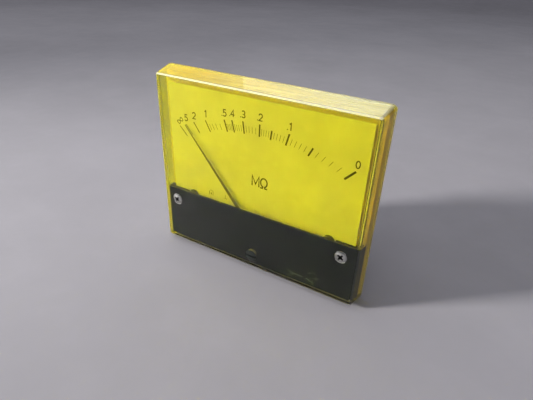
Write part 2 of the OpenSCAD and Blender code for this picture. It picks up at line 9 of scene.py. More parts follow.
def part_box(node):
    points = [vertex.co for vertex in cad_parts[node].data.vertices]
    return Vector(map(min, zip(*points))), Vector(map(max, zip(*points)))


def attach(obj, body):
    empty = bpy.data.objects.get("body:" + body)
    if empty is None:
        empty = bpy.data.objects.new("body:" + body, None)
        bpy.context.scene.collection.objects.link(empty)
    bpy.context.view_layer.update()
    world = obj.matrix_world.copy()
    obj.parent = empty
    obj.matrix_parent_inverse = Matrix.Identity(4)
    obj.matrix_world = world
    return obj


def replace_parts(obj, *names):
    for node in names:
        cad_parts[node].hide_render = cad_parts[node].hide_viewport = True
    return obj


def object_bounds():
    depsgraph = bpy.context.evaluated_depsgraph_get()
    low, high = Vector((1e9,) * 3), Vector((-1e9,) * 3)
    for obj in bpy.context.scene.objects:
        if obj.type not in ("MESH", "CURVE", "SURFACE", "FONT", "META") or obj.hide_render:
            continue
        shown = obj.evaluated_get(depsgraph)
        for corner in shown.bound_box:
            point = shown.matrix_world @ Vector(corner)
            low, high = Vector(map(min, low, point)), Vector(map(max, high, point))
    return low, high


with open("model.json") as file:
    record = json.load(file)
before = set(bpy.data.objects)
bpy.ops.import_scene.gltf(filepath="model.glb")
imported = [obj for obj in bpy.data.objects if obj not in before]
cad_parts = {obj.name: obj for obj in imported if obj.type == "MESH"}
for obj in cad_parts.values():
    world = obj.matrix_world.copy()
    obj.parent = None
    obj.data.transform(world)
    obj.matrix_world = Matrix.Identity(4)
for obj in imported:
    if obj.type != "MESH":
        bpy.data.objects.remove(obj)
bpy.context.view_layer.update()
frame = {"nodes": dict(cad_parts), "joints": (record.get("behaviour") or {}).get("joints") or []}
nodes = frame["nodes"]
MM = 0.001


def mesh_object(name, bm):
    """New object in the scene with the bmesh's shape; the bmesh is freed."""
    mesh = bpy.data.meshes.new(name)
    bm.to_mesh(mesh)
    bm.free()
    obj = bpy.data.objects.new(name, mesh)
    bpy.context.scene.collection.objects.link(obj)
    return obj


def joint_place(name):
    """X and Z of a joint's axis, in mm."""
    for joint in frame["joints"]:
        if joint["name"] == name:
            return Vector((joint["pos_m"][0], joint["pos_m"][2])) / MM
    raise KeyError(name)


# ---------------------------------------------------------------- materials

class Graph:
    """A material's node tree, with short calls for the nodes used here."""

    def __init__(self, name):
        self.mat = bpy.data.materials.new(name)
        self.mat.use_nodes = True
        self.tree = self.mat.node_tree
        self.tree.nodes.clear()
        self.out = self.tree.nodes.new("ShaderNodeOutputMaterial")
        place = self.tree.nodes.new("ShaderNodeTexCoord")
        self.coord = place.outputs["Object"]
        self.facing = place.outputs["Normal"]

    def node(self, kind, **values):
        made = self.tree.nodes.new(kind)
        for key, value in values.items():
            setattr(made, key, value)
        return made

    def link(self, a, b):
        self.tree.links.new(a, b)

    def stretched(self, scale):
        mapping = self.node("ShaderNodeMapping")
        mapping.inputs["Scale"].default_value = scale
        self.link(self.coord, mapping.inputs["Vector"])
        return mapping.outputs["Vector"]

    def noise(self, scale, detail=4.0, rough=0.55, vector=None):
        """Noise from 0 to 1; the scale is in features per metre."""
        made = self.node("ShaderNodeTexNoise")
        made.inputs["Scale"].default_value = scale
        made.inputs["Detail"].default_value = detail
        made.inputs["Roughness"].default_value = rough
        self.link(vector or self.coord, made.inputs["Vector"])
        return made.outputs["Fac"]

    def span(self, value, low, high, start=0.3, end=0.7):
        """Goes from low to high while the value goes from start to end."""
        made = self.node("ShaderNodeMapRange")
        for key, number in (("From Min", start), ("From Max", end), ("To Min", low), ("To Max", high)):
            made.inputs[key].default_value = number
        self.link(value, made.inputs["Value"])
        return made.outputs["Result"]

    def feed(self, socket, value):
        """Links a socket to the input, or sets a plain number on it."""
        if isinstance(value, bpy.types.NodeSocket):
            self.link(value, socket)
        else:
            socket.default_value = value

    def math(self, kind, a, b=0.0):
        made = self.node("ShaderNodeMath", operation=kind)
        self.feed(made.inputs[0], a)
        self.feed(made.inputs[1], b)
        return made.outputs[0]

    def mix(self, fac, a, b):
        made = self.node("ShaderNodeMix", data_type="FLOAT")
        self.feed(made.inputs[0], fac)
        self.feed(made.inputs[2], a)
        self.feed(made.inputs[3], b)
        return made.outputs[0]

    def split(self, vector):
        made = self.node("ShaderNodeSeparateXYZ")
        self.link(vector, made.inputs[0])
        return made.outputs

    def blend(self, fac, a, b):
        """Mixes two colours, each a socket or three numbers."""
        made = self.node("ShaderNodeMix", data_type="RGBA")
        for socket, value in ((made.inputs[6], a), (made.inputs[7], b)):
            if isinstance(value, bpy.types.NodeSocket):
                self.link(value, socket)
            else:
                socket.default_value = (*value, 1.0)
        self.link(fac, made.inputs[0])
        return made.outputs[2]

    def bump(self, height, distance, strength=1.0):
        made = self.node("ShaderNodeBump")
        made.inputs["Distance"].default_value = distance
        made.inputs["Strength"].default_value = strength
        self.link(height, made.inputs["Height"])
        return made.outputs["Normal"]

    def principled(self, colour, rough, normal, **fixed):
        shader = self.node("ShaderNodeBsdfPrincipled")
        self.link(colour, shader.inputs["Base Color"])
        self.link(rough, shader.inputs["Roughness"])
        self.link(normal, shader.inputs["Normal"])
        for key, value in fixed.items():
            shader.inputs[key.replace("_", " ")].default_value = value
        self.link(shader.outputs[0], self.out.inputs["Surface"])
        return shader


def shade(colour, by):
    """The colour made darker or lighter by a factor."""
    return tuple(min(1.0, c * by) for c in colour)


GRAIN, POLISH, TARNISH = 900, 520, 260  # noise scales of all metals, from fine to coarse


def metal(name, colour, rough=(0.22, 0.42), grain=(1, 1, 1), dull=None, bump=0.012,
          shade_and_grime=None, shade_and_grime_y=None):
    """Metal with drawn or turned grain, tarnish patches and uneven polish.

    The recess colour is painted shade with grime: a dark colour laid into recesses between the two
    given depths, in mm.
    """
    g = Graph(name)
    along = g.noise(GRAIN, 5, 0.6, g.stretched(grain))
    patches = g.noise(TARNISH, 4)
    tarnish = g.span(patches, 0.0, 0.8, 0.45, 0.75)
    base = g.blend(g.span(along, 0.0, 1.0), shade(colour, 0.86), shade(colour, 1.08))
    colour_out = g.blend(tarnish, base, dull or shade(colour, 0.62))
    # Painted shade with grime: darker in the recess, between the two depths
    if shade_and_grime:
        shaded_recess = g.span(g.split(g.coord)["Y"], 0.0, 1.0, shade_and_grime_y[0] * MM, shade_and_grime_y[1] * MM)
        colour_out = g.blend(shaded_recess, colour_out, shade_and_grime)
    rough_out = g.span(g.noise(POLISH, 5, 0.65), rough[0], rough[1])
    g.principled(colour_out, rough_out, g.bump(along, bump * MM), Metallic=1.0)
    return g.mat


def plastic(name, colour, rough=(0.3, 0.5), bump=0.02, scale=700, dust=None, dust_to=0.25, **fixed):
    """Moulded plastic or paint with fine texture, colour mottling and a little dust.

    The scale sets the size of all of these together; a higher one is finer.
    """
    g = Graph(name)
    fine = g.noise(scale * 3, 5, 0.6)
    mottle = g.noise(scale * 0.12, 4)
    base = g.blend(g.span(mottle, 0.0, 1.0), shade(colour, 0.92), shade(colour, 1.06))
    dusty = g.span(g.noise(scale * 0.5, 6, 0.7), 0.0, dust_to, 0.5, 0.8)
    colour_out = g.blend(dusty, base, dust or shade(colour, 1.2))
    rough_out = g.span(g.noise(scale * 0.6, 5), rough[0], rough[1])
    g.principled(colour_out, rough_out, g.bump(fine, bump * MM), **fixed)
    return g.mat


SANDED_Y = (-0.25, -0.05)             # the cover's rear edge is rough between these depths, in mm
PAINTED_LIGHT_X = 35                           # painted light: the walls' tint changes from -35 to 35 mm along X, lit on the left and shaded on the right
WINDOW_HAZE, EDGE_HAZE = 0.002, 0.2   # share of light that scatters, in the window and on worn edges
PASSED = (1.0, 0.991, 0.0)            # what the plastic lets through: it takes the blue away
ABSORPTION = 750.0                    # per metre


def clear_cover():
    """Yellow acrylic that absorbs blue, with hazy walls tinted with painted light and shade along X,
    worn edges and a sanded rear rim.
    """
    g = Graph("tinted_acrylic")
    hair = g.noise(160, 6, 0.75, g.stretched((1.0, 1.0, 9.0)))
    smears = g.noise(45, 4, 0.5)
    place, facing = g.split(g.coord), g.split(g.facing)
    across = g.math("ABSOLUTE", facing["Y"])        # 1 on the window, near 0 on the side walls
    upward = g.math("ABSOLUTE", facing["Z"])        # 1 on the top and bottom walls
    on_top = g.span(upward, 0.0, 1.0, 0.5, 0.8)
    # Worn: the rounded edges between the window and the walls, most on the top and bottom ones
    worn = g.math("MULTIPLY", g.span(across, 0.0, 1.0, 0.3, 0.45),
                  g.span(across, 1.0, 0.0, 0.90, 0.97))
    worn = g.math("MULTIPLY", worn, g.span(upward, 0.15, 1.0, 0.2, 0.5))
    polished = g.span(smears, 0.0, 0.02, 0.4, 0.75)
    sanded = g.span(place["Y"], 0.0, 0.55, SANDED_Y[0] * MM, SANDED_Y[1] * MM)
    rough = g.math("MAXIMUM", g.math("MAXIMUM", polished, sanded), g.math("MULTIPLY", worn, 0.3))

    streaks = g.noise(1300, 3, 0.6, g.stretched((0.03, 1.0, 0.03)))
    side_haze = g.span(streaks, 0.10, 0.03, 0.35, 0.6)
    top_haze = g.span(streaks, 0.30, 0.15, 0.35, 0.6)
    haze = g.mix(on_top, side_haze, top_haze)
    haze = g.mix(g.span(across, 0.0, 1.0, 0.5, 0.9), haze, WINDOW_HAZE)
    haze = g.mix(worn, haze, EDGE_HAZE)

    tint = g.blend(smears, (1.0, 0.985, 0.90), (1.0, 1.0, 0.94))
    # Painted light and shade: the side walls' tint goes from a lit greenish yellow on the left to a
    # shaded brown on the right, and the top's from gold to a painted cream reflection on the right
    rightward = g.span(place["X"], 0.0, 1.0, -PAINTED_LIGHT_X * MM, PAINTED_LIGHT_X * MM)
    painted_shade_sides = g.blend(rightward, (0.92, 0.94, 0.30), (1.0, 0.82, 0.14))
    painted_reflection_top = g.blend(rightward, (1.0, 0.83, 0.06), (0.89, 0.87, 0.66))
    painted_light_tint = g.blend(on_top, painted_shade_sides, painted_reflection_top)
    tint = g.blend(g.span(across, 1.0, 0.0, 0.3, 0.6), tint, painted_light_tint)
    normal = g.bump(hair, 0.0004 * MM, 0.6)
    shader = g.principled(tint, rough, normal, IOR=1.49)
    g.link(g.math("SUBTRACT", 1.0, haze), shader.inputs["Transmission Weight"])
    volume = g.node("ShaderNodeVolumeAbsorption")
    volume.inputs["Color"].default_value = (*PASSED, 1.0)
    volume.inputs["Density"].default_value = ABSORPTION
    g.link(volume.outputs[0], g.out.inputs["Volume"])
    return g.mat


SCUFF_STRETCH = 1.6                   # the patch of scuffs is this much wider than high
SCUFF_AT = (26, -7.5, -57.5)          # its middle in mm, with Z multiplied by the stretch
SCUFF_REACH = (1.5, 9)                # mm from the middle over which the scuffs fade out


def scuffed_paint():
    """Matt black paint with a patch of pale scratches at its lower right."""
    g = Graph("mask_paint")
    mottle = g.noise(90, 3)
    base = g.blend(g.span(mottle, 0.0, 1.0), (0.001, 0.003, 0.004), (0.003, 0.006, 0.007))
    spot = g.node("ShaderNodeVectorMath", operation="DISTANCE")
    g.link(g.stretched((1.0, 1.0, SCUFF_STRETCH)), spot.inputs[0])
    spot.inputs[1].default_value = Vector(SCUFF_AT) * MM
    near = g.span(spot.outputs["Value"], 1.0, 0.0, SCUFF_REACH[0] * MM, SCUFF_REACH[1] * MM)
    lines = g.span(g.noise(170, 6, 0.62, g.stretched((0.7, 1.0, 2.2))), 0.0, 1.0, 0.56, 0.62)
    colour = g.blend(g.math("MULTIPLY", near, lines), base, (0.11, 0.14, 0.11))
    g.principled(colour, g.span(mottle, 0.5, 0.7), g.bump(mottle, 0.002 * MM),
                 Specular_IOR_Level=0.0)
    return g.mat


def ink():
    """Printed ink: slightly uneven black."""
    g = Graph("scale_ink")
    uneven = g.noise(1800, 4)
    colour = g.blend(uneven, (0.006, 0.006, 0.005), (0.03, 0.028, 0.02))
    g.principled(colour, g.span(uneven, 0.45, 0.65), g.bump(uneven, 0.003 * MM))
    return g.mat


RESISTOR_BODY_HALF = 5.02  # mm from the middle, past which only the bare leads show
BAND_HALF = 0.4            # half width of a colour band, in mm
# Place of each band from the middle, in mm, and its colour
RESISTOR_BANDS = ((-3.5, (0.20, 0.07, 0.02)), (-2.2, (0.01, 0.01, 0.01)),
                  (-0.9, (0.55, 0.03, 0.02)), (3.3, (0.50, 0.33, 0.08)))


def film_resistor():
    """Blue lacquered body with four colour bands, and tinned leads beyond its ends."""
    g = Graph("film_resistor")
    along = g.split(g.coord)["X"]
    mottle = g.noise(420, 4)
    colour = g.blend(g.span(mottle, 0.0, 1.0), (0.09, 0.27, 0.42), (0.14, 0.36, 0.54))
    for centre, paint_colour in RESISTOR_BANDS:
        off = g.math("ABSOLUTE", g.math("SUBTRACT", along, centre * MM))
        colour = g.blend(g.math("LESS_THAN", off, BAND_HALF * MM), colour, paint_colour)
    bare = g.math("GREATER_THAN", g.math("ABSOLUTE", along), RESISTOR_BODY_HALF * MM)
    colour = g.blend(bare, colour, (0.66, 0.66, 0.64))
    shader = g.principled(colour, g.span(mottle, 0.22, 0.36), g.bump(mottle, 0.01 * MM))
    g.link(bare, shader.inputs["Metallic"])
    return g.mat


def dress(node, mat):
    """Gives a CAD node one material."""
    mesh = nodes[node].data
    if mesh.materials:
        for i in range(len(mesh.materials)):
            mesh.materials[i] = mat
    else:
        mesh.materials.append(mat)


steel = metal("zinc_plated_steel", (0.62, 0.62, 0.60))
# The screws' cross recesses get a painted shade with grime
screw_steel = metal("screw_steel", (0.60, 0.60, 0.56), rough=(0.14, 0.30), dull=(0.10, 0.10, 0.08),
                    shade_and_grime=(0.02, 0.02, 0.016), shade_and_grime_y=(-10.25, -9.75))
brass = metal("turned_brass", (0.78, 0.60, 0.30), rough=(0.2, 0.38), dull=(0.42, 0.30, 0.14))
bronze = metal("spring_bronze", (0.72, 0.46, 0.24), rough=(0.2, 0.35))
aluminium = metal("stamped_aluminium", (0.78, 0.78, 0.80), rough=(0.28, 0.45))
copper = metal("enamelled_copper", (0.62, 0.24, 0.10), rough=(0.25, 0.4), grain=(1, 12, 1))
soft_iron = metal("soft_iron", (0.34, 0.34, 0.36), rough=(0.3, 0.5), dull=(0.2, 0.17, 0.15))
magnet = metal("magnet_alloy", (0.26, 0.26, 0.28), rough=(0.25, 0.45))
tinned = metal("tinned_brass", (0.70, 0.70, 0.68), rough=(0.3, 0.5))
black_steel = metal("blackened_steel", (0.09, 0.09, 0.085), rough=(0.25, 0.45))
ivory = plastic("moulded_ochre", (0.66, 0.56, 0.32), rough=(0.38, 0.55), scale=600)
black = plastic("black_moulding", (0.018, 0.020, 0.017), rough=(0.12, 0.3), bump=0.006,
                dust=(0.12, 0.12, 0.10), dust_to=0.35)
adjuster_black = plastic("adjuster_black", (0.010, 0.012, 0.011), rough=(0.10, 0.22), bump=0.004,
                         dust=(0.03, 0.035, 0.03), Specular_IOR_Level=0.3)
dial_paint = plastic("dial_paint", (0.84, 0.82, 0.78), rough=(0.45, 0.6), bump=0.004, scale=500)
lacquer = plastic("needle_lacquer", (0.075, 0.062, 0.035), rough=(0.3, 0.45), bump=0.003)
phenolic = plastic("phenolic_board", (0.36, 0.21, 0.09), rough=(0.4, 0.6))
insulation = plastic("wire_insulation", (0.5, 0.04, 0.03), rough=(0.35, 0.5))

LOOKS = {
    "cover": clear_cover(), "cover_screws": screw_steel, "mask": black, "dial_plate": dial_paint,
    "dial_screws": black_steel, "pointer_stops": black_steel, "zero_adjuster": adjuster_black,
    "zero_lever": brass, "front_hairspring": bronze, "rear_hairspring": bronze,
    "rear_spring_arm": brass, "front_bridge": aluminium, "front_jewel_screw": brass,
    "rear_jewel_screw": brass, "jewel_lock_nuts": brass, "movement_screws": steel,
    "front_spacers": brass, "rear_spacers": brass, "rear_frame": aluminium,
    "frame_screws": steel, "yoke_ring": soft_iron, "magnet_core": magnet,
    "core_clamps": brass, "coil_former": aluminium, "coil_winding": copper,
    "front_staff": steel, "rear_staff": steel, "pointer": lacquer, "counterweights": brass,
    "base": ivory, "mounting_studs": steel, "terminal_studs": brass,
    "terminal_washers": steel, "terminal_nuts": brass, "solder_lugs": tinned,
    "resistor_board": phenolic, "board_screws": steel, "series_resistors": film_resistor(),
    "lead_wires": insulation,
}
for node, mat in LOOKS.items():
    dress(node, mat)

# ---------------------------------------------------------------- lead wires

WIRE_R, CORE_R = 0.5, 0.28      # insulation and tinned core, in mm
STRIPPED = 1.3                  # bare length at each end
TRIM = 0.001                    # keeps the last cut inside the path
ROUND_FROM = 3.0                # a bend starts this far from its corner, in mm
ROUND_MOST = 0.48               # but within this share of the straight it lies on
WIRE_SIDES = 16
SOLDER_R = (0.85, 0.5, 0.85)    # half sizes of a drop of solder

# Depths, in mm, at which the drops of solder meet the lugs' front, the resistors' leads,
# the rear frame's back and the front bridge's back
LUG_Y, LEAD_Y, FRAME_Y, BRIDGE_Y = 29.3, 24.3, 20.0, -2.2

# Corners of each route, as in part.scad, in mm, and the depth of what each end is soldered to
ROUTES = (
    (((-13, 28.75, -9.5), (-13, 25.75, -9.5), (-7.5, 25.55, -3), (-7.5, 25.05, 3)), (LUG_Y, LEAD_Y)),
    (((-7.5, 25.05, 7), (-3, 26.05, 2), (-3, 26.05, -12), (-4, 20.55, -20.5)), (LEAD_Y, FRAME_Y)),
    (((13, 28.75, -9.5), (13, 23.75, -10.5), (17, 17.5, -14), (16.5, 0.5, -16),
      (11, -1.65, -23.2)), (LUG_Y, BRIDGE_Y)),
)


def rounded(corners, steps=10):
    """Path through the corners with each one rounded off by a curve."""
    corners = [Vector(c) for c in corners]
    path = [corners[0]]
    for before, corner, after in zip(corners, corners[1:], corners[2:]):
        arms = [end - corner for end in (before, after)]
        start, end = (corner + arm * min(ROUND_FROM / arm.length, ROUND_MOST) for arm in arms)
        for i in range(steps + 1):
            t = i / steps
            path.append(start * (1 - t) ** 2 + corner * 2 * t * (1 - t) + end * t * t)
    path.append(corners[-1])
    return path


def stretch_of(path, start, end):
    """The part of the path between two distances along it, both short of its end."""
    kept, gone = [], 0.0
    for a, b in zip(path, path[1:]):
        length = (b - a).length
        for mark in (start, end):
            if gone <= mark < gone + length:
                kept.append(a.lerp(b, (mark - gone) / length))
        if start < gone + length < end:
            kept.append(b.copy())
        gone += length
    return kept


def sweep(bm, path, radius):
    """Adds a closed round tube along the path, in mm."""
    side = (path[1] - path[0]).orthogonal()
    rings = []
    for i, point in enumerate(path):
        tangent = (path[min(i + 1, len(path) - 1)] - path[max(i - 1, 0)]).normalized()
        side = (side - tangent * side.dot(tangent)).normalized()
        up = tangent.cross(side)
        turns = [2 * math.pi * k / WIRE_SIDES for k in range(WIRE_SIDES)]
        rings.append([bm.verts.new((point + (side * math.cos(t) + up * math.sin(t)) * radius) * MM)
                      for t in turns])
    for near, far in zip(rings, rings[1:]):
        for k in range(WIRE_SIDES):
            j = (k + 1) % WIRE_SIDES
            bm.faces.new((near[k], near[j], far[j], far[k])).smooth = True
    bm.faces.new(rings[0][::-1])
    bm.faces.new(rings[-1])


def solder(bm, where):
    """Adds a flattened drop of solder, in mm."""
    made = bmesh.ops.create_icosphere(bm, subdivisions=3, radius=MM)
    for vert in made["verts"]:
        vert.co = Vector(c * r for c, r in zip(vert.co, SOLDER_R)) + where * MM
    for vert in made["verts"]:
        for face in vert.link_faces:
            face.smooth = True


def case_piece(name, bm, mat):
    """Closed shape that is fixed to the case."""
    bmesh.ops.recalc_face_normals(bm, faces=bm.faces)
    obj = mesh_object(name, bm)
    obj.data.materials.append(mat)
    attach(obj, "case")
    return obj


sleeves, joints = bmesh.new(), bmesh.new()
for corners, faces_y in ROUTES:
    path = rounded(corners)
    total = sum((b - a).length for a, b in zip(path, path[1:]))
    sweep(sleeves, stretch_of(path, STRIPPED, total - STRIPPED), WIRE_R)
    bare = STRIPPED + WIRE_R    # the core also reaches a little way into the insulation
    for start, end in ((0.0, bare), (total - bare, total - TRIM)):
        sweep(joints, stretch_of(path, start, end), CORE_R)
    for end, face_y in zip((path[0], path[-1]), faces_y):
        solder(joints, Vector((end.x, (end.y + face_y) / 2, end.z)))
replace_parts(case_piece("lead_wire_sleeves", sleeves, insulation), "lead_wires")
case_piece("lead_wire_joints", joints, tinned)

# ---------------------------------------------------------------- dial print

INK_T = 0.02                          # thickness of the ink, in mm
PRINT_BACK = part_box("dial_plate")[0].y
PRINT_FRONT = PRINT_BACK - INK_T * MM
PIVOT = joint_place("pointer_turn")   # the pointer's axis, X and Z in mm
ARC_CENTRE = Vector((0.0, -66.5))     # centre of the flattened scale arc
HALF_SCALE = 200.0                    # kilohm value that stands at mid-scale
START, SWEEP = -44.0, 88.6            # degrees from upright


def angle_of(kilohms):
    """Direction of a value from the pivot: the law of a series ohmmeter."""
    return math.radians(START + SWEEP * HALF_SCALE / (HALF_SCALE + kilohms))


def on_arc(angle, radius):
    """Point where a ray from the pivot crosses the arc of that radius."""
    rise = (PIVOT - ARC_CENTRE).y
    side = rise * math.sin(angle)
    t = -rise * math.cos(angle) + math.sqrt(radius * radius - side * side)
    return PIVOT + t * Vector((math.sin(angle), math.cos(angle)))


class Print:
    """Thin raised ink shapes collected in one mesh."""

    def __init__(self, name):
        self.name = name
        self.bm = bmesh.new()

    def strip(self, points, width, closed=False):
        """Mitred ribbon of that width along the points, in mm on the dial's face."""
        count = len(points)
        sides = []
        for i, point in enumerate(points):
            before = points[i - 1] if closed or i else None
            after = points[(i + 1) % count] if closed or i < count - 1 else None
            d0 = (point - before).normalized() if before is not None else None
            d1 = (after - point).normalized() if after is not None else None
            if d0 is None:
                d0 = d1
            if d1 is None:
                d1 = d0
            tangent = (d0 + d1).normalized()
            normal = Vector((-tangent.y, tangent.x))
            reach = width / 2 / max(0.5, abs(normal.dot(Vector((-d1.y, d1.x)))))
            sides.append((point + normal * reach, point - normal * reach))
        rings = [self.ring(a, b) for a, b in sides]
        pairs = list(zip(rings, rings[1:]))
        if closed:
            pairs.append((rings[-1], rings[0]))
        for near, far in pairs:
            for k in range(4):
                self.bm.faces.new((near[k], near[(k + 1) % 4], far[(k + 1) % 4], far[k]))
        if not closed:
            self.bm.faces.new(rings[0][::-1])
            self.bm.faces.new(rings[-1])

    def ring(self, a, b):
        corners = ((a, PRINT_FRONT), (b, PRINT_FRONT), (b, PRINT_BACK), (a, PRINT_BACK))
        return [self.bm.verts.new((p.x * MM, y, p.y * MM)) for p, y in corners]


def points_of(*pairs):
    """Points on the dial's face from pairs of X and Z in mm."""
    return [Vector(p) for p in pairs]


def arc(cx, cy, rx, ry, start, end, steps=14):
    """Points of an elliptic arc; angles in degrees anticlockwise from +X."""
    turns = [math.radians(start + (end - start) * i / steps) for i in range(steps + 1)]
    return [(cx + rx * math.cos(t), cy + ry * math.sin(t)) for t in turns]


# Glyph strokes in units of the glyph's height, x from 0 to about 0.6
GLYPHS = {
    "0": [(arc(0.30, 0.50, 0.25, 0.46, 0, 360, 28)[:-1], True)],
    "1": [([(0.12, 0.78), (0.34, 0.96), (0.34, 0.0)], False)],
    "2": [(arc(0.29, 0.69, 0.25, 0.27, 170, -38, 12) + [(0.05, 0.05), (0.57, 0.05)], False)],
    "3": [(arc(0.27, 0.72, 0.22, 0.24, 150, -90, 12) + arc(0.27, 0.26, 0.26, 0.22, 90, -155, 12)[1:],
           False)],
    "4": [([(0.43, 0.0), (0.43, 0.94), (0.03, 0.29), (0.6, 0.29)], False)],
    "5": [([(0.52, 0.95), (0.12, 0.95), (0.09, 0.53)] + arc(0.27, 0.33, 0.27, 0.29, 115, -145, 14),
           False)],
    "M": [([(0.0, 0.0), (0.0, 0.97), (0.34, 0.2), (0.68, 0.97), (0.68, 0.0)], False)],
    "ohm": [([(0.0, 0.04), (0.22, 0.04)] + arc(0.34, 0.56, 0.31, 0.40, 252, -72, 24)
             + [(0.46, 0.04), (0.68, 0.04)], False)],
}


def infinity(steps=40):
    """Strokes of a lying figure of eight."""
    turns = [2 * math.pi * i / steps for i in range(steps)]
    return [([(0.52 + 0.5 * math.cos(t), 0.5 + 0.27 * math.sin(2 * t)) for t in turns], True)]


GLYPHS["infinity"] = infinity()


def glyph(ink_print, name, origin, height, width, turn=0.0):
    """Draws a glyph with its lower left corner at origin, turned about that corner."""
    c, s = math.cos(turn), math.sin(turn)
    for points, closed in GLYPHS[name]:
        placed = [origin + height * Vector((c * x - s * y, s * x + c * y)) for x, y in points]
        ink_print.strip(placed, width, closed)


# Inner and outer radius of each kind of mark, in mm on the arc
MAJOR, MEDIUM, MINOR = (88.2, 93.3), (88.2, 92.1), (88.9, 91.6)
ZERO_MARK = (88.2, 93.6)
HAIR = 0.16                           # width of the finest lines, in mm

# Numbered marks: kilohms, numeral in megohms, width of the mark in mm
NUMBERED = ((5000, "5", 0.3), (2000, "2", 0.44), (1000, "1", 0.48), (500, ".5", 0.58),
            (400, ".4", 0.6), (300, ".3", 0.62), (200, ".2", 0.66), (100, ".1", 0.7))
# Fine marks: four between each pair of neighbours, as first value, last value and step
FINE = ((10, 40, 10), (60, 90, 10), (110, 140, 10), (160, 190, 10), (220, 280, 20),
        (320, 380, 20), (420, 480, 20), (600, 900, 100))

marks = Print("scale_marks")
for kilohms, text, width in NUMBERED:
    marks.strip([on_arc(angle_of(kilohms), r) for r in MAJOR], width)
marks.strip([on_arc(math.radians(START), r) for r in MAJOR], 0.38)
marks.strip([on_arc(math.radians(START + SWEEP), r) for r in ZERO_MARK], 0.85)
for kilohms in (150, 50):
    marks.strip([on_arc(angle_of(kilohms), r) for r in MEDIUM], 0.7)
for first, last, step in FINE:
    for kilohms in range(first, last + 1, step):
        marks.strip([on_arc(angle_of(kilohms), r) for r in MINOR], HAIR)

DIGIT_H, DIGIT_W, STROKE = 3.0, 1.85, 0.46
HALF_DIGIT = Vector((DIGIT_W / 2, DIGIT_H / 2))
LABEL_SHIFT = Vector((0.35, 2.9))     # from a mark's outer end to its numeral's centre
POINT_SHIFT = Vector((-0.45, 0.25))   # from a numeral's corner to its decimal point
POINT_SIZE = 0.42
ZERO_AT, INFINITY_AT = Vector((41.4, 20.5)), Vector((-40.1, 20.1))
INFINITY_H, INFINITY_TURN, INFINITY_STROKE = 3.2, math.radians(42), 0.36

numerals = Print("scale_numerals")
for kilohms, text, width in NUMBERED:
    corner = on_arc(angle_of(kilohms), MAJOR[1]) + LABEL_SHIFT - HALF_DIGIT
    glyph(numerals, text[-1], corner, DIGIT_H, STROKE)
    if text[0] == ".":
        point = corner + POINT_SHIFT
        half_point = Vector((POINT_SIZE / 2, 0))
        numerals.strip([point - half_point, point + half_point], POINT_SIZE)
glyph(numerals, "0", ZERO_AT - HALF_DIGIT, DIGIT_H, STROKE)
half = Vector((0.52, 0.5)) * INFINITY_H
half.rotate(Matrix.Rotation(INFINITY_TURN, 2))
glyph(numerals, "infinity", INFINITY_AT - half, INFINITY_H, INFINITY_STROKE, INFINITY_TURN)

unit_mark = Print("unit_mark")
glyph(unit_mark, "M", Vector((-2.6, -0.7)), 4.9, 0.64)
glyph(unit_mark, "ohm", Vector((1.4, -0.9)), 5.0, 0.62)

symbols = Print("instrument_symbols")
# Moving-coil symbol: a horseshoe magnet with its coil
symbols.strip(points_of((-25.3, -12.2), (-25.3, -10.6), *arc(-24.3, -10.6, 1.0, 0.9, 180, 0, 10),
                        (-23.3, -12.2)), HAIR)
symbols.strip(points_of((-24.3, -11.9), (-24.3, -11.0)), 0.5)
# Upright-use symbol: a line standing on its base line
symbols.strip(points_of((-16.5, -11.7), (-16.5, -9.9)), HAIR)
symbols.strip(points_of((-17.5, -11.7), (-15.5, -11.7)), HAIR)

ink_mat = ink()
for part in (marks, numerals, unit_mark, symbols):
    case_piece(part.name, part.bm, ink_mat)

# ---------------------------------------------------------------- mask paint

cover_low, cover_high = (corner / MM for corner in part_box("cover"))
COVER_DEPTH = -cover_low.y
MASK_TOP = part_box("mask")[1].z / MM
DRAFT_X, DRAFT_Z = 1.4, 2.2           # how much the cover's halves narrow towards the front
WALL, WINDOW_T = 1.8, 2.5             # thickness of the cover's walls and window, as in part.scad
CORNER = 0.8                          # radius of the cover's inner corners
WINDOW_BACK = cover_low.y + WINDOW_T
PAINT_BACK, BOTTOM_FRONT = -3.5, -9.3  # rear edge, and front edge under the cover's bottom
BOTTOM_GAP = 0.5                      # the black strip under the bottom ends this far from the side walls
BITE, COAT = 0.05, 0.1                # how far the paint keys into the plastic, and its thickness
HOLES = ((-41.4, -17.9, 1.45), (41.4, -17.9, 1.45),  # X, Z and radius: two screws
         (*joint_place("adjuster_turn"), 2.85))      # and the zero adjuster


def outer_half_h(y):
    """Half height of the cover's outside at depth y."""
    return cover_high.z - DRAFT_Z * -y / COVER_DEPTH


def inner_half(y, inset):
    """Half width and half height of the cover's inside at depth y, less an inset."""
    outer_half_w = cover_high.x - DRAFT_X * -y / COVER_DEPTH
    return outer_half_w - WALL - inset, outer_half_h(y) - WALL - inset


def u_outline(y, inset):
    """Points down the left wall, round both lower corners and up the right wall."""
    half_w, half_h = inner_half(y, inset)
    r = CORNER - inset
    points = [(-half_w, MASK_TOP), (-half_w, -half_h + r)]
    points += arc(-half_w + r, -half_h + r, r, r, 180, 270, 6)[1:]
    points += arc(half_w - r, -half_h + r, r, r, 270, 360, 6)
    points.append((half_w, MASK_TOP))
    return points


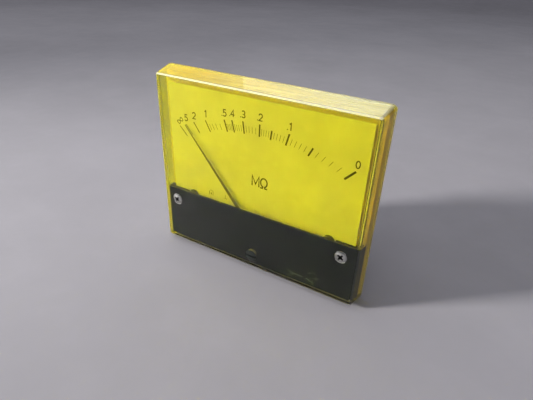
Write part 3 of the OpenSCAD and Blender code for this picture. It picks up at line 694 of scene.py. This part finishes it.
def mask_paint():
    """Black paint on the inside of the cover's lower window and walls, and a black strip on the
    outside of its bottom wall.
    """
    bm = bmesh.new()

    def ring(y, inset):
        return [bm.verts.new((x * MM, y * MM, z * MM)) for x, z in u_outline(y, inset)]

    front = ring(WINDOW_BACK - BITE, -BITE)
    back = ring(PAINT_BACK, -BITE)
    back_in = ring(PAINT_BACK, COAT - BITE)
    front_in = ring(WINDOW_BACK - BITE + COAT, COAT - BITE)
    for a, b in ((front, back), (back, back_in), (back_in, front_in)):
        for i in range(len(a) - 1):
            bm.faces.new((a[i], a[i + 1], b[i + 1], b[i]))
    for end in (0, -1):
        bm.faces.new([r[end] for r in (front, back, back_in, front_in)])
    bm.faces.new(front)
    bm.faces.new(front_in)
    bm.faces.new((front[0], front[-1], front_in[-1], front_in[0]))
    bmesh.ops.recalc_face_normals(bm, faces=bm.faces)
    # A black strip on the outside of the cover's bottom wall, which keeps the cover's lower edge dark
    half_w = inner_half(PAINT_BACK, 0.0)[0] - BOTTOM_GAP
    under = []
    for y in (BOTTOM_FRONT, PAINT_BACK):
        under.append([bm.verts.new((side * half_w * MM, y * MM, -(outer_half_h(y) + off) * MM))
                      for side, off in ((-1, -BITE), (1, -BITE), (1, BITE / 2), (-1, BITE / 2))])
    for i in range(4):
        j = (i + 1) % 4
        bm.faces.new((under[0][i], under[0][j], under[1][j], under[1][i]))
    bm.faces.new(under[0])
    bm.faces.new(under[1])
    bmesh.ops.recalc_face_normals(bm, faces=bm.faces)
    return mesh_object("mask_paint", bm)


def pierce(obj, x, z, radius):
    """Cuts a round hole through the paint along Y."""
    bm = bmesh.new()
    bmesh.ops.create_cone(bm, segments=48, radius1=radius * MM, radius2=radius * MM,
                          depth=4 * MM, cap_ends=True)
    cutter = mesh_object("cut", bm)
    cutter.rotation_euler = (math.pi / 2, 0, 0)
    cutter.location = (x * MM, WINDOW_BACK * MM, z * MM)
    cut = obj.modifiers.new("hole", "BOOLEAN")
    cut.object = cutter
    cut.solver = "EXACT"
    bpy.context.view_layer.update()
    evaluated = obj.evaluated_get(bpy.context.evaluated_depsgraph_get())
    shape = bpy.data.meshes.new_from_object(evaluated)
    obj.modifiers.clear()
    obj.data = shape
    bpy.data.objects.remove(cutter)


paint = mask_paint()
for x, z, radius in HOLES:
    pierce(paint, x, z, radius)
paint.data.materials.clear()
paint.data.materials.append(scuffed_paint())
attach(paint, "case")

# ---------------------------------------------------------------- edges

# Width of each node's softened edges, in mm
EDGES = {"cover": 0.25, "mask": 0.12, "base": 0.3, "dial_plate": 0.06, "cover_screws": 0.08,
         "zero_adjuster": 0.08, "dial_screws": 0.1, "terminal_nuts": 0.12, "terminal_washers": 0.08}
SHARP = math.radians(32)              # only edges sharper than this are softened

for name, width in EDGES.items():
    bevel = nodes[name].modifiers.new("edge", "BEVEL")
    bevel.width = width * MM
    bevel.segments = 2
    bevel.limit_method = "ANGLE"
    bevel.angle_limit = SHARP
    bevel.harden_normals = False

# ---------------------------------------------------------------- stage

FLOOR_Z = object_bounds()[0][2]
FLAT_RINGS = (0.15, 0.4, 0.9)         # radii of the flat floor's rings, in metres
FLAT_R, BEND_R, WALL_H = 1.5, 0.8, 1.3  # flat part, bend and top of the wall, in metres
BOWL_SIDES, BEND_STEPS = 96, 12


def studio_bowl():
    """Round floor that bends up into a wall on all sides, so no view shows its edge."""
    profile = [(r, 0.0) for r in FLAT_RINGS]
    for i in range(BEND_STEPS + 1):
        turn = math.pi / 2 * i / BEND_STEPS
        profile.append((FLAT_R + BEND_R * math.sin(turn), BEND_R * (1 - math.cos(turn))))
    profile.append((FLAT_R + BEND_R, WALL_H))
    bm = bmesh.new()
    turns = [2 * math.pi * i / BOWL_SIDES for i in range(BOWL_SIDES)]
    rings = [[bm.verts.new((r * math.cos(t), r * math.sin(t), FLOOR_Z + z)) for t in turns]
             for r, z in profile]
    bm.faces.new(rings[0])
    for a, b in zip(rings, rings[1:]):
        for i in range(BOWL_SIDES):
            j = (i + 1) % BOWL_SIDES
            bm.faces.new((a[i], b[i], b[j], a[j])).smooth = True
    bmesh.ops.recalc_face_normals(bm, faces=bm.faces)
    return mesh_object("floor", bm)


floor = studio_bowl()
floor.data.materials.append(plastic("floor_paper", (0.20, 0.193, 0.211), rough=(0.7, 0.9), scale=60,
                                    bump=0.05))


def area(name, where, toward, size, power, colour=(1, 1, 1), spread=180):
    """Rectangular lamp in metres and watts; a smaller spread narrows its beam."""
    lamp = bpy.data.lights.new(name, "AREA")
    lamp.shape = "RECTANGLE"
    lamp.size, lamp.size_y = size
    lamp.energy = power
    lamp.color = colour
    lamp.spread = math.radians(spread)
    obj = bpy.data.objects.new(name, lamp)
    obj.location = where
    obj.rotation_euler = (Vector(toward) - Vector(where)).to_track_quat("-Z", "Y").to_euler()
    bpy.context.scene.collection.objects.link(obj)


area("key", (-0.9, -0.74, 0.36), (-0.06, 0, 0.06), (0.17, 0.17), 2.8, (1.0, 0.98, 0.95), spread=44)
area("back_panel", (-0.29, 0.96, 0.78), (0, 0, 0), (0.9, 0.4), 1.25, (0.92, 0.96, 1.0))
area("overhead", (-0.65, -0.02, 1.05), (-0.1, -0.02, 0), (0.95, 0.85), 6.5)

world = bpy.data.worlds.new("studio")
bpy.context.scene.world = world
world.use_nodes = True
sky = world.node_tree.nodes["Background"]
sky.inputs["Color"].default_value = (0.92, 0.93, 1.0, 1.0)
sky.inputs["Strength"].default_value = 0.7
cycles = bpy.context.scene.cycles
cycles.max_bounces = 24
cycles.transmission_bounces = 24
cycles.glossy_bounces = 24
cycles.diffuse_bounces = 6

# ---------------------------------------------------------------- camera

# The photograph's view: where it was taken from, in metres, and which way it looks
CAMERA_AT = Vector((0.08013, -0.14128, 0.08336))
LENS = 28.52                          # mm, on a sensor 36 mm wide

forward = Vector((-0.422, 0.757, -0.498)).normalized()
up_hint = Vector((-0.279, 0.414, 0.866))
right = forward.cross(up_hint).normalized()
up = right.cross(forward)
camera_data = bpy.data.cameras.new("camera")
camera_data.sensor_width = 36.0
camera_data.lens = LENS
camera_data.clip_start = 0.01
camera = bpy.data.objects.new("camera", camera_data)
camera.matrix_world = Matrix((
    (right.x, up.x, -forward.x, CAMERA_AT.x),
    (right.y, up.y, -forward.y, CAMERA_AT.y),
    (right.z, up.z, -forward.z, CAMERA_AT.z),
    (0, 0, 0, 1)))
bpy.context.scene.collection.objects.link(camera)
bpy.context.scene.camera = camera
bpy.context.scene.view_settings.view_transform = "Standard"
